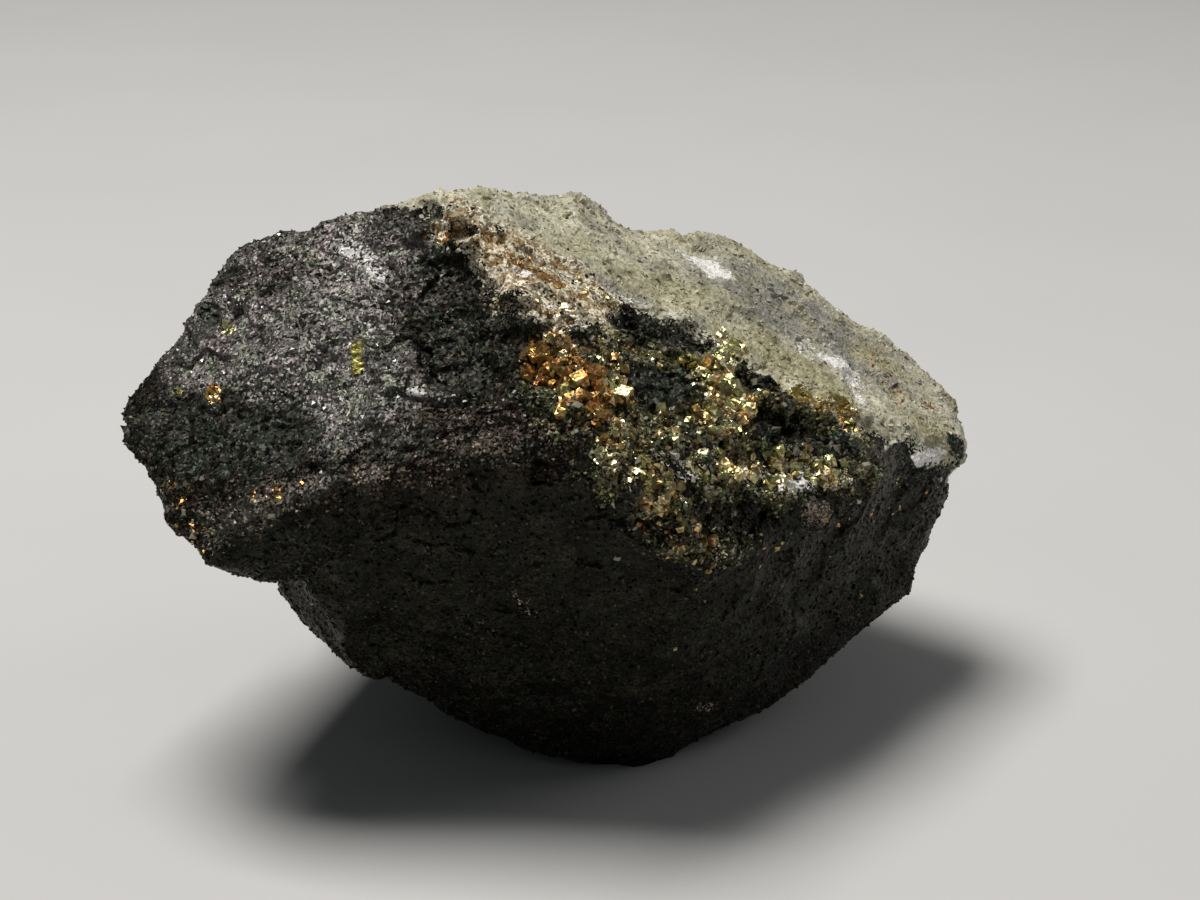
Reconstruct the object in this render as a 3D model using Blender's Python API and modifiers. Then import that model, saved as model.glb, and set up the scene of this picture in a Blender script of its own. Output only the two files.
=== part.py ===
"""A hand-sized lump of massive magnetite and calc-silicate rock, with a vein of pyrite crystals across its front.

It is one broken stone and so one solid. Two convex blocks, each the hull of its named corners, make the main
body and the wing that overhangs on the left. Chips and pits are cut from their union. The surface is then
remeshed, broken into small tilted facets, cut flat underneath, and pyrite crystals are fused on along the vein.

Metres, +Z up. X is the long way, -Y is the front, and the origin is under the middle of the box, on the table.
"""

import math
import random

import bmesh
import bpy
from mathutils import Euler, Matrix, Vector, noise

MM = 0.001

MIDDLE = (-2.66, -1.50, 0.0)
"""The middle of the finished stone, on the table, among the corners below."""

# Corners of the stone in millimetres: X to the right, Y to the back, Z above the table.
MAIN_BLOCK_CORNERS = {
    "peak": (-10.4, -3.0, 41.3),
    "ridge_top": (-11.0, -4.5, 40.5),
    "ridge_upper": (-6.0, -12.0, 36.4),
    "ridge_middle": (-2.6, -17.1, 33.9),
    "ridge_nose": (0.0, -21.6, 29.8),
    "ridge_lower": (2.6, -22.1, 26.4),
    "ridge_foot": (6.7, -20.1, 19.6),
    "front_rim_left": (-9.7, -21.1, 27.3),
    "front_rim_right": (-1.6, -22.1, 27.8),
    "vein_top": (0.0, -5.0, 35.2),
    "vein_middle": (8.6, -2.5, 30.5),
    "vein_right": (17.9, -4.0, 24.4),
    "vein_end": (24.4, -0.5, 19.7),
    "vein_lower_right": (17.6, -8.6, 20.6),
    "vein_lower": (11.8, -14.1, 20.2),
    "second_peak": (-2.1, 5.0, 38.5),
    "top_back": (8.8, 14.0, 32.7),
    "top_back_middle": (12.5, 14.5, 30.9),
    "top_back_right": (15.8, 15.0, 28.9),
    "right_shoulder": (24.3, 12.0, 23.6),
    "right_end": (27.2, 9.0, 21.3),
    "right_tip": (27.6, 4.0, 19.9),
    "right_under_upper": (26.2, 4.0, 14.3),
    "right_under_middle": (24.2, 4.0, 10.6),
    "right_under_lower": (22.6, 0.5, 8.0),
    "right_heel_upper": (21.1, 1.0, 5.4),
    "right_heel": (19.2, 0.5, 3.9),
    "right_heel_front": (16.8, -3.6, 5.2),
    "right_foot": (13.3, -6.0, 2.7),
    "right_foot_low": (10.4, -6.0, 1.4),
    "front_foot_right": (7.3, -8.6, 1.2),
    "base_front_right": (3.3, -10.3, -0.4),
    "base_front": (0.0, -10.8, -0.4),
    "base_front_left": (-2.8, -8.2, -0.4),
    "base_left_front": (-7.4, -3.7, -0.4),
    "base_left": (-9.4, 2.0, -0.4),
    "base_back_left": (-8.0, 9.0, -0.4),
    "base_back": (3.0, 10.5, -0.4),
    "base_back_right": (10.0, 5.0, -0.4),
    "left_crease_top": (-20.3, -14.0, 15.0),
    "left_crease_middle": (-17.6, -12.5, 10.0),
    "left_crease_foot": (-14.6, -9.6, 6.3),
    "left_under_top": (-23.8, -8.0, 12.9),
    "left_under_upper": (-21.8, -6.5, 9.7),
    "left_under_middle": (-18.1, -6.5, 7.1),
    "left_under_foot": (-13.8, -4.0, 3.1),
    "back_peak": (-10.0, 8.0, 34.5),
    "back_left_top": (-20.0, 9.0, 27.0),
    "back_left": (-22.0, 13.0, 15.0),
    "back_left_low": (-15.0, 14.5, 5.0),
    "back_upper": (1.0, 18.5, 25.0),
    "back_middle": (-7.0, 19.5, 15.0),
    "back_right": (13.5, 20.0, 18.0),
    "back_right_low": (17.5, 14.0, 6.5),
    "back_low": (2.0, 17.5, 5.0),
}
LEFT_WING_CORNERS = {
    "peak": (-10.6, -3.0, 41.3),
    "skyline_upper": (-15.0, -2.0, 38.9),
    "skyline_middle": (-18.0, -1.5, 38.5),
    "skyline_lower": (-21.3, -1.0, 38.0),
    "shoulder": (-25.3, 0.0, 36.2),
    "shoulder_low": (-26.8, -1.0, 33.6),
    "left_upper": (-30.4, -4.0, 30.1),
    "left_tip_top": (-33.3, -9.0, 26.8),
    "left_tip": (-32.6, -12.0, 25.6),
    "left_tip_low": (-30.5, -15.0, 23.8),
    "lower_left": (-28.4, -18.0, 21.2),
    "lip_left": (-25.8, -20.1, 20.1),
    "lip_under": (-22.8, -17.0, 17.6),
    "lip_middle": (-16.6, -20.6, 25.6),
    "lip_right": (-9.9, -21.1, 27.2),
    "face_crease": (-13.0, -11.5, 35.2),
    "face_middle": (-22.0, -11.0, 29.9),
    "under_back": (-21.0, -6.0, 13.5),
    "back_shoulder": (-25.5, 6.0, 27.0),
    "back_waist": (-24.5, 7.0, 18.0),
    "inside_upper": (-9.0, 3.0, 33.0),
    "inside_lower": (-10.0, -6.0, 16.0),
}

# Chips broken off the hull: centre and size in millimetres, turn about X, Y and Z in degrees.
CHIPS = {
    "skyline_saddle": ((4.0, 11.0, 36.2), (9.5, 18.0, 5.0), (4, 24, 20)),
    "shoulder_step": ((-26.9, -7.0, 34.6), (8.0, 2.4, 3.0), (40, -28, 30)),
    "wing_step": ((-28.0, -16.0, 28.5), (13.0, 8.0, 3.0), (24, -16, -8)),
    "peak_pit": ((-11.4, -4.8, 40.4), (1.6, 1.6, 1.6), (20, 30, 40)),
    "peak_pit_right": ((-9.4, -6.9, 39.2), (2.4, 1.2, 1.4), (20, 30, -20)),
    "top_lip": ((4.2, -6.6, 33.2), (8.6, 3.2, 2.2), (24, 31, 8)),
    "vein_pit_upper": ((-1.2, -10.4, 34.1), (3.4, 1.8, 2.2), (10, 30, -8)),
    "ridge_pit": ((-4.4, -14.4, 36.0), (3.4, 2.2, 2.2), (30, 20, -18)),
    "ridge_ledge": ((-3.2, -17.4, 33.6), (4.0, 2.4, 2.2), (8, 8, 12)),
    "ridge_ledge_low": ((-0.2, -20.0, 31.8), (3.6, 2.4, 2.2), (8, 8, 20)),
    "magnetite_pit": ((10.9, -6.6, 28.2), (3.4, 1.8, 2.0), (20, 30, -6)),
    "vein_crack": ((15.6, -5.2, 27.0), (7.5, 0.8, 3.0), (20, 30, -14)),
    "vein_hollow": ((13.8, -9.8, 25.4), (9.6, 3.0, 2.4), (14, 30, 2)),
    "back_notch": ((4.0, 21.5, 22.0), (12.0, 6.0, 7.0), (-30, 12, 8)),
    "back_step": ((-17.0, 16.5, 22.0), (14.0, 6.0, 8.0), (-28, -20, 30)),
    "back_low_chip": ((9.0, 20.5, 8.0), (10.0, 7.0, 9.0), (24, 10, -24)),
}

VOXEL = 0.75 * MM
BODY_TRIANGLES = 6000
SWELL = 0.05 * MM
"""Makes up for the corners that the remesh rounds off."""

# Facets that the broken surface is made of: cell size, and how far each one is tilted out of the surface.
FACETS = (
    {"cell": 7.0 * MM, "tilt": 0.10},
    {"cell": 2.6 * MM, "tilt": 0.10},
)
MOST_FACET_STEP = 0.45 * MM

# The vein broke in ledges: they follow its upper edge, and each one overhangs the next.
LEDGE_DOWNHILL = (-0.25, -0.84, -0.48)
LEDGE_WIDTH = 2.7 * MM
LEDGE_DROP = 0.55 * MM
LEDGE_WAVER = 1.5 * MM

# The pyrite vein in millimetres: each stretch runs from one point to another, with its radius and crystal count.
VEIN = (
    ((-9.5, -5.5, 39.0), (-3.0, -13.5, 34.5), 2.2, 10),
    ((-3.0, -13.5, 34.5), (1.0, -19.5, 30.5), 2.8, 20),
    ((1.5, -20.0, 29.0), (7.0, -18.5, 22.0), 3.2, 24),
    ((6.0, -16.0, 26.0), (17.0, -9.0, 23.0), 3.0, 30),
    ((7.0, -10.5, 29.5), (15.0, -6.0, 26.0), 2.4, 22),
)
VEIN_REACH = 5.0 * MM
CRYSTAL_SIDES = (1.0 * MM, 1.9 * MM)
CRYSTAL_SPACING = 1.35 * MM
CRYSTAL_SINK = 0.22
"""Share of a crystal's side by which its centre lies under the surface."""
SEED = 7

ROCK_COLOUR = (0.055, 0.052, 0.048, 1.0)
ROCK_ROUGHNESS = 0.5
ROCK_METALLIC = 0.35


def clear_scene():
    for obj in list(bpy.data.objects):
        bpy.data.objects.remove(obj)


def new_collection(name, hidden=False):
    collection = bpy.data.collections.new(name)
    bpy.context.scene.collection.children.link(collection)
    collection.hide_render = hidden
    return collection


def object_from(bm, name, collection):
    mesh = bpy.data.meshes.new(name)
    bm.to_mesh(mesh)
    bm.free()
    obj = bpy.data.objects.new(name, mesh)
    collection.objects.link(obj)
    return obj


def as_helper(obj):
    obj.hide_render = True
    obj.display_type = "WIRE"
    return obj


def hull_of(corners, name, collection):
    """The convex block on these corners, its flat faces joined."""
    bm = bmesh.new()
    points = [bm.verts.new(Vector(corner) * MM) for corner in corners.values()]
    hull = bmesh.ops.convex_hull(bm, input=points)
    inside = {v for v in hull["geom_interior"] if isinstance(v, bmesh.types.BMVert)}
    bmesh.ops.delete(bm, geom=list(inside), context="VERTS")
    bmesh.ops.recalc_face_normals(bm, faces=bm.faces)
    return object_from(bm, name, collection)


def cutter(name, centre, size, turn, collection):
    """A box that takes one chip off the stone."""
    bm = bmesh.new()
    bmesh.ops.create_cube(bm, size=1.0)
    obj = object_from(bm, "chip_" + name, collection)
    for vertex in obj.data.vertices:
        vertex.co = Vector(a * b * MM for a, b in zip(vertex.co, size))
    obj.location = Vector(centre) * MM
    obj.rotation_euler = Euler([math.radians(angle) for angle in turn])
    return as_helper(obj)


def boolean(obj, other, operation):
    modifier = obj.modifiers.new(operation.lower() + "_" + other.name, "BOOLEAN")
    modifier.operation = operation
    modifier.solver = "EXACT"
    modifier.object = other


def settle(obj):
    """Applies the modifiers of an object to its mesh."""
    bpy.context.view_layer.update()
    graph = bpy.context.evaluated_depsgraph_get()
    mesh = bpy.data.meshes.new_from_object(obj.evaluated_get(graph))
    obj.modifiers.clear()
    obj.data = mesh


def rough_block(parts, helpers):
    """The two blocks joined, with the chips taken off."""
    rock = hull_of(MAIN_BLOCK_CORNERS, "rock", parts)
    boolean(rock, as_helper(hull_of(LEFT_WING_CORNERS, "left_wing", helpers)), "UNION")
    for name, (centre, size, turn) in CHIPS.items():
        boolean(rock, cutter(name, centre, size, turn, helpers), "DIFFERENCE")
    settle(rock)
    return rock


def remesh(rock):
    modifier = rock.modifiers.new("even_faces", "REMESH")
    modifier.mode = "VOXEL"
    modifier.voxel_size = VOXEL
    settle(rock)


def facet_step(point, cell, tilt):
    """How far the facet at this point stands out. Each cell is a flat facet with a slope of its own."""
    _, seeds = noise.voronoi(point / cell)
    seed = seeds[0]
    slope = noise.cell_vector(seed * 37.7) - Vector((0.5, 0.5, 0.5))
    return (point / cell - seed).dot(slope) * 2 * tilt * cell


def ledge_step(point):
    """How far a ledge of the vein stands out at this point; nothing away from the vein."""
    reach = min(distance_to_stretch(point, *ends) for ends in vein_stretches())
    share = max(0.0, min(1.0, 2.0 - 2.0 * reach / VEIN_REACH))
    waver = LEDGE_WAVER * noise.noise(point / (5.0 * MM))
    along = (point.dot(Vector(LEDGE_DOWNHILL)) + waver) / LEDGE_WIDTH
    return share * LEDGE_DROP * (along - math.floor(along) - 0.5)


def break_surface(rock):
    """Moves each vertex along its normal onto the small facets and ledges of a broken stone."""
    mesh = rock.data
    moved = []
    for vertex, normal in zip(mesh.vertices, mesh.vertex_normals):
        step = sum(facet_step(vertex.co, **facets) for facets in FACETS)
        step = max(-MOST_FACET_STEP, min(MOST_FACET_STEP, step))
        step += SWELL + ledge_step(vertex.co)
        moved.append(vertex.co + normal.vector * step)
    for vertex, place in zip(mesh.vertices, moved):
        vertex.co = place


def thin_out(rock):
    """Brings the mesh down to its triangle budget; flat facets keep few triangles."""
    faces = sum(len(p.vertices) - 2 for p in rock.data.polygons)
    modifier = rock.modifiers.new("fewer_faces", "DECIMATE")
    modifier.ratio = BODY_TRIANGLES / faces
    modifier.use_collapse_triangulate = True
    settle(rock)


def wear_base_flat(rock):
    bm = bmesh.new()
    bm.from_mesh(rock.data)
    cut = bmesh.ops.bisect_plane(
        bm,
        geom=bm.verts[:] + bm.edges[:] + bm.faces[:],
        plane_co=(0, 0, 0),
        plane_no=(0, 0, -1),
        clear_outer=True,
    )
    rim = [e for e in cut["geom_cut"] if isinstance(e, bmesh.types.BMEdge)]
    bmesh.ops.holes_fill(bm, edges=rim)
    bmesh.ops.triangulate(bm, faces=bm.faces)
    bm.to_mesh(rock.data)
    bm.free()


def vein_stretches():
    return [(Vector(start) * MM, Vector(end) * MM) for start, end, _, _ in VEIN]


def vein_points(rock, dice):
    """Where crystals stand: points of the surface near the vein, none too near another."""
    places = []
    for start, end, radius, count in VEIN:
        start, end = Vector(start) * MM, Vector(end) * MM
        near = [
            face
            for face in rock.data.polygons
            if distance_to_stretch(face.center, start, end) < radius * MM
        ]
        dice.shuffle(near)
        for face in near:
            if count == 0:
                break
            if all((face.center - place).length > CRYSTAL_SPACING for place, _ in places):
                places.append((face.center.copy(), face.normal.copy()))
                count -= 1
    return places


def distance_to_stretch(point, start, end):
    along = (point - start).dot(end - start) / (end - start).length_squared
    along = max(0.0, min(1.0, along))
    return (point - start.lerp(end, along)).length


def grow_crystals(rock, helpers):
    """Fuses the pyrite cubes of the vein to the stone."""
    dice = random.Random(SEED)
    bm = bmesh.new()
    for place, normal in vein_points(rock, dice):
        side = dice.uniform(*CRYSTAL_SIDES)
        turn = Euler([dice.uniform(0, math.pi) for _ in range(3)]).to_matrix().to_4x4()
        seat = Matrix.Translation(place - normal * side * CRYSTAL_SINK)
        bmesh.ops.create_cube(bm, size=side, matrix=seat @ turn)
    crystals = as_helper(object_from(bm, "crystals", helpers))
    boolean(rock, crystals, "UNION")
    rock.modifiers[0].use_self = True
    settle(rock)


def keep_outer_shell(rock):
    """Takes away the walls of any gap that the crystals closed off under themselves."""
    bm = bmesh.new()
    bm.from_mesh(rock.data)
    waiting = set(bm.verts)
    shells = []
    while waiting:
        front = [waiting.pop()]
        shell = list(front)
        while front:
            vertex = front.pop()
            for edge in vertex.link_edges:
                other = edge.other_vert(vertex)
                if other in waiting:
                    waiting.remove(other)
                    front.append(other)
                    shell.append(other)
        shells.append(shell)
    shells.sort(key=len)
    for shell in shells[:-1]:
        bmesh.ops.delete(bm, geom=shell, context="VERTS")
    bmesh.ops.triangulate(bm, faces=bm.faces)
    bm.to_mesh(rock.data)
    bm.free()


def centre_on_table(rock):
    """Puts the origin under the middle of the stone, at the height of the flat base."""
    rock.data.transform(Matrix.Translation(-Vector(MIDDLE) * MM))


def rock_material():
    material = bpy.data.materials.new("magnetite_rock")
    material.use_nodes = True
    shader = material.node_tree.nodes["Principled BSDF"]
    shader.inputs["Base Color"].default_value = ROCK_COLOUR
    shader.inputs["Roughness"].default_value = ROCK_ROUGHNESS
    shader.inputs["Metallic"].default_value = ROCK_METALLIC
    return material


def main():
    clear_scene()
    parts = new_collection("pyrite_magnetite_rock")
    helpers = new_collection("helpers")
    rock = rough_block(parts, helpers)
    remesh(rock)
    break_surface(rock)
    thin_out(rock)
    wear_base_flat(rock)
    grow_crystals(rock, helpers)
    keep_outer_shell(rock)
    centre_on_table(rock)
    rock.data.materials.append(rock_material())


main()
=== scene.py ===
"""Looks of the pyrite and magnetite stone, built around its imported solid.

The stone's fine surface is a copy of the solid, remeshed, broken into small facets and thinned out again. Each
mineral has a place on it, kept as numbers on the mesh that the rock material reads. Pyrite crystals, magnetite
grains and pale grains are many small closed solids, grown part way into that surface and joined into one piece
for each mineral.
"""

import itertools
import math

import bmesh
import bpy
import numpy as np
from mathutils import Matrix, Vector


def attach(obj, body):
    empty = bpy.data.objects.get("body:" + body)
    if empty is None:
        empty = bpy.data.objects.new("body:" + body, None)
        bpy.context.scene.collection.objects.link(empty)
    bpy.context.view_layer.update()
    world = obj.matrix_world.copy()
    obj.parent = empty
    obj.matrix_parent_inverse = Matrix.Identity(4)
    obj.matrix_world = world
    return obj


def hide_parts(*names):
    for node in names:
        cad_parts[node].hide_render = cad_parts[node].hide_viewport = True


MM = 0.001
SEED = 11

# -------- camera, floor and lights

LENS = 75.0
SENSOR = 36.0
ELEVATION = math.radians(22.0)
DISTANCE = 183.8
AIM = (2.66, 1.51, 20.4)
"""The point of the stone at the middle of the picture, in millimetres, as all points of the stone here."""

FLOOR_SIZE = 4.0
FLOOR_COLOUR = (0.60, 0.60, 0.59)
FLOOR_SHADE = (0.582, 0.582, 0.5723)
FLOOR_PATCHES = 40.0
LIGHTS = {
    "overhead": {"at": (-0.12, 0.04, 0.56), "size": 0.24, "watts": 3.4, "colour": (1.0, 0.98, 0.95)},
    "side": {"at": (0.50, 0.10, 0.30), "size": 0.30, "watts": 0.4, "colour": (1.0, 0.99, 0.97)},
}
WORLD_COLOUR = (0.86, 0.90, 0.95, 1.0)
WORLD_STRENGTH = 0.08

# -------- the stone's surface, in millimetres

VOXEL = 0.21
SMOOTHING_ROUNDS = 6
SURFACE_TRIANGLES = 190_000
# Flat facets: their size, their slope, the steps between them, and their channel of random values.
FACETS = ((3.0, 0.1, 0.16, 1), (1.2, 0.13, 0.07, 2), (0.5, 0.18, 0.04, 3))
VEIN_FACETS = ((1.7, 0.26, 0.36, 4), (0.8, 0.3, 0.18, 8))
# The dark stone below the top of the underside is smoother, and has soft folds instead.
UNDERSIDE = {"top": 23.0, "fade": 5.0, "smoothness": 0.4}
UNDERSIDE_FOLDS = {"size": 6.0, "height": 0.9, "level": 0.3, "channel": 140}
CLEAVAGE = (0.93, -0.10, 0.35)
CLEAVAGE_STRETCH = 1.2
"""The facets are this many times longer along the cleavage than across it."""
# Noises, here and below: their height, size, layers, and channel of random values.
WAVES = (0.14, 4.0, 3, 5)
MATRIX_SMOOTHNESS = 0.4
CORNER_JITTER = {"by": 0.025, "steps": 1000, "channel": 60}
"""Each corner moves at random, by up to this much."""
FLAT_BASE = 0.05
"""What lies lower than this is the face the stone rests on, and stays flat."""

# Small ledges: from one end to the other, how far the step is felt across it, and its height.
LEDGE_WAVER = ((0.7, 2.2, 2, 70), (0.7, 2.2, 2, 75), (0.7, 2.2, 2, 80))
LEDGE_EDGE = 0.15
LEDGES = (
    ((-23.3, -4.5, 32.4), (-22.4, -3.7, 33.4), 0.9, 0.26),
    ((-22.4, -3.7, 33.4), (-18.7, -3.4, 35.1), 1.0, 0.26),
    ((-27.5, -8.5, 28.3), (-24.5, -10.1, 28.8), 1.3, 0.16),
    ((-24.5, -10.1, 28.8), (-17.4, -13.4, 28.7), 1.3, 0.1),
    ((-10.8, -14.9, 30.8), (-5.6, -16.1, 31.2), 1.0, 0.24),
    ((-9.6, -17.2, 28.9), (-2.0, -17.4, 30.6), 1.2, 0.2),
    ((-7.0, -5.6, 38.9), (-2.0, -8.6, 36.9), 0.6, 0.25),
    ((-5.0, -5.0, 38.8), (1.0, -6.4, 36.2), 0.6, 0.3),
    ((-2.4, -9.8, 36.6), (1.6, -9.6, 35.6), 0.6, 0.25),
    ((-1.6, -15.0, 33.3), (1.8, -15.4, 33.3), 0.9, 0.42),
    ((0.9, -17.0, 31.8), (3.0, -16.1, 31.5), 0.8, 0.36),
    ((-7.9, -5.7, 38.4), (-3.0, -11.2, 36.3), 0.9, 0.25),
    ((-3.0, -11.2, 36.3), (-1.3, -14.4, 34.6), 0.9, 0.22),
    ((4.6, -5.7, 33.2), (9.2, -3.4, 31.4), 1.4, 0.32),
    ((12.9, -4.3, 28.5), (15.0, -5.2, 28.1), 1.0, 0.45),
    ((13.4, -7.0, 26.6), (18.4, -5.4, 25.5), 1.1, 0.5),
    ((18.6, -3.3, 26.0), (22.2, -1.4, 23.8), 1.0, 0.3),
    ((9.8, -15.6, 23.6), (20.4, -7.9, 21.4), 1.2, 0.3),
)
# Hollows: from one end to the other, radius and depth, which is below 0 where the stone stands out.
HOLLOW_WAVER = (0.35, 1.4, 3, 90)
HOLLOW_RIM = 1.3
"""A hollow ends at this many of its radii."""
HOLLOWS = (
    ((4.4, -6.6, 32.6), (9.2, -4.2, 31.2), 1.6, 0.35),
    ((5.6, -12.6, 31.0), (8.2, -9.6, 30.4), 1.4, 0.4),
    ((13.0, -5.2, 28.2), (14.6, -6.0, 27.9), 0.9, 0.6),
    ((13.2, -8.0, 25.8), (18.2, -6.0, 24.8), 1.0, 0.6),
    ((0.9, -13.0, 34.9), (1.9, -13.4, 34.5), 0.7, 0.5),
    ((-2.6, -13.2, 35.0), (-1.4, -13.7, 34.6), 0.6, 0.45),
    ((-9.6, -2.8, 40.1), (-8.8, -3.5, 40.0), 0.7, 0.55),
    ((-7.2, -5.0, 39.4), (-6.1, -5.3, 39.2), 0.5, 0.45),
    ((-24.8, -3.0, 32.6), (-24.4, -3.4, 32.2), 0.8, 0.3),
    ((-8.2, -8.0, 36.2), (-5.8, -13.4, 33.2), 4.6, 0.7),
    ((-7.6, -10.9, 34.1), (-5.4, -14.0, 32.9), 2.2, 0.5),
    ((9.5, 18.6, 24.5), (12.5, 17.4, 21.5), 2.4, 0.7),
    ((0.5, 20.2, 21.5), (3.5, 19.8, 18.0), 2.0, 0.6),
    ((5.5, 19.0, 22.5), (8.0, 19.0, 19.5), 1.5, -0.6),
    ((-4.5, 17.5, 28.5), (-1.0, 18.5, 24.5), 1.8, 0.5),
    ((10.6, 12.2, 33.1), (11.0, 12.6, 33.1), 0.9, -0.45),
    ((8.2, 12.6, 33.1), (9.4, 13.4, 32.7), 1.7, -0.8),
    ((2.6, 6.2, 37.5), (3.4, 7.2, 37.2), 1.1, 0.55),
    ((17.4, 15.0, 29.4), (17.8, 15.4, 29.2), 0.7, -0.4),
)

# -------- where the minerals lie, in millimetres

# How the share of a mineral falls from the middle of a stretch outwards, and how far its edge wanders.
REACH_LEVEL = 1.65
REACH_FALL = 1.2
EDGE_WAVER = (0.5, 1.8, 4, 40)

# Pyrite: stretches of the vein from one point to another, with the radius that they reach, the share of the
# surface that is pyrite there, how far it is tarnished from brass to orange brown, and crystals to a square
# millimetre.
PYRITE_AREAS = (
    ((-9.4, -3.8, 39.5), (-6.8, -6.7, 38.2), 0.7, 0.35, 1.0, 2.4),
    ((-2.8, -6.4, 37.6), (0.2, -6.9, 36.4), 1.0, 0.3, 1.0, 6.4),
    ((1.4, -6.6, 35.4), (2.2, -7.0, 35.0), 0.6, 0.3, 0.9, 6.4),
    ((-6.0, -5.2, 39.2), (-4.6, -5.4, 38.6), 0.5, 0.3, 0.8, 4.0),
    ((-1.6, -12.0, 35.6), (1.6, -11.4, 35.4), 0.9, 0.25, 0.3, 8.0),
    ((1.4, -5.0, 35.8), (3.4, -5.6, 34.4), 0.8, 0.2, 0.3, 6.4),
    ((-0.8, -14.9, 33.8), (2.2, -17.0, 31.6), 1.6, 0.75, 0.85, 24.0),
    ((-0.8, -15.6, 32.6), (1.6, -18.0, 30.4), 0.8, 0.5, 0.95, 12.0),
    ((-0.6, -12.2, 35.4), (1.8, -12.2, 35.0), 0.9, 0.25, 0.45, 8.0),
    ((2.8, -13.6, 33.4), (4.6, -17.2, 30.4), 1.3, 0.45, 0.4, 13.6),
    ((4.2, -10.6, 32.6), (10.2, -8.0, 30.2), 0.6, 0.45, 0.5, 12.0),
    ((12.0, -2.4, 29.8), (11.0, -6.0, 29.8), 1.1, 0.75, 0.0, 24.0),
    ((10.4, -6.6, 29.7), (9.6, -9.4, 29.3), 1.1, 0.75, 0.1, 24.0),
    ((12.7, -6.8, 28.1), (10.6, -11.9, 27.9), 1.5, 0.75, 0.15, 24.0),
    ((15.4, -4.6, 26.9), (20.4, -2.4, 24.6), 1.0, 0.45, 0.45, 12.0),
    ((3.4, -19.4, 28.6), (6.6, -18.4, 25.8), 1.9, 0.32, 0.35, 10.4),
    ((5.6, -18.6, 24.6), (9.6, -17.6, 21.4), 1.6, 0.15, 0.55, 4.0),
    ((5.0, -16.4, 29.4), (11.4, -12.4, 26.2), 1.9, 0.25, 0.25, 6.0),
    ((8.4, -15.8, 25.8), (20.8, -6.8, 22.6), 1.3, 0.35, 0.1, 12.0),
    ((10.6, -15.4, 20.6), (20.6, -6.0, 17.0), 3.0, 0.03, 0.6, 0.4),
    ((20.6, -5.0, 19.0), (27.6, 2.0, 17.8), 2.2, 0.05, 1.0, 0.48),
    ((26.8, 4.6, 22.8), (27.6, 5.8, 22.3), 0.5, 0.3, 1.0, 6.0),
    ((-23.3, -5.0, 32.2), (-22.9, -5.2, 32.1), 0.45, 1.0, 0.0, 32.0),
    ((-23.7, -10.0, 29.2), (-23.3, -10.3, 29.1), 0.5, 0.6, 1.0, 6.0),
    ((-26.4, -14.0, 24.0), (-24.4, -15.0, 23.6), 0.8, 0.12, 1.0, 1.6),
    ((-20.0, -17.2, 24.8), (-16.4, -17.9, 25.8), 0.6, 0.2, 1.0, 2.8),
    ((-18.7, -17.6, 25.3), (-18.3, -17.8, 25.1), 0.3, 0.8, 1.0, 24.0),
    ((-25.4, -16.5, 21.6), (-21.8, -18.3, 21.8), 0.8, 0.12, 0.8, 1.6),
)
# The vein: green-black, olive and tan grains among the pyrite, with their share.
VEIN_AREAS = (
    ((0.2, -13.2, 34.2), (2.6, -17.6, 31.0), 2.4, 0.85),
    ((-1.6, -16.4, 31.6), (1.8, -19.4, 28.8), 1.8, 0.5),
    ((4.6, -9.8, 32.4), (11.4, -5.6, 29.8), 3.2, 0.9),
    ((4.4, -17.0, 29.6), (13.4, -9.8, 26.6), 3.4, 0.9),
    ((13.0, -7.4, 27.4), (21.4, -2.8, 24.2), 2.4, 0.85),
    ((3.8, -20.0, 27.6), (7.4, -18.8, 24.4), 2.0, 0.75),
    ((9.0, -16.6, 25.0), (22.4, -5.4, 22.2), 2.0, 0.8),
    ((5.9, -19.4, 23.9), (9.3, -18.2, 21.6), 1.8, 0.55),
    ((8.6, -17.8, 22.6), (12.1, -15.8, 20.2), 1.8, 0.45),
    ((7.0, -18.4, 21.4), (20.0, -6.4, 18.0), 3.2, 0.14),
    ((19.0, -6.0, 18.6), (27.6, 1.6, 17.6), 2.8, 0.12),
    ((-27.0, -12.8, 24.8), (-19.6, -17.2, 24.8), 2.2, 0.18),
    ((-25.2, -16.2, 22.0), (-17.6, -18.2, 24.0), 1.8, 0.26),
)
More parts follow.
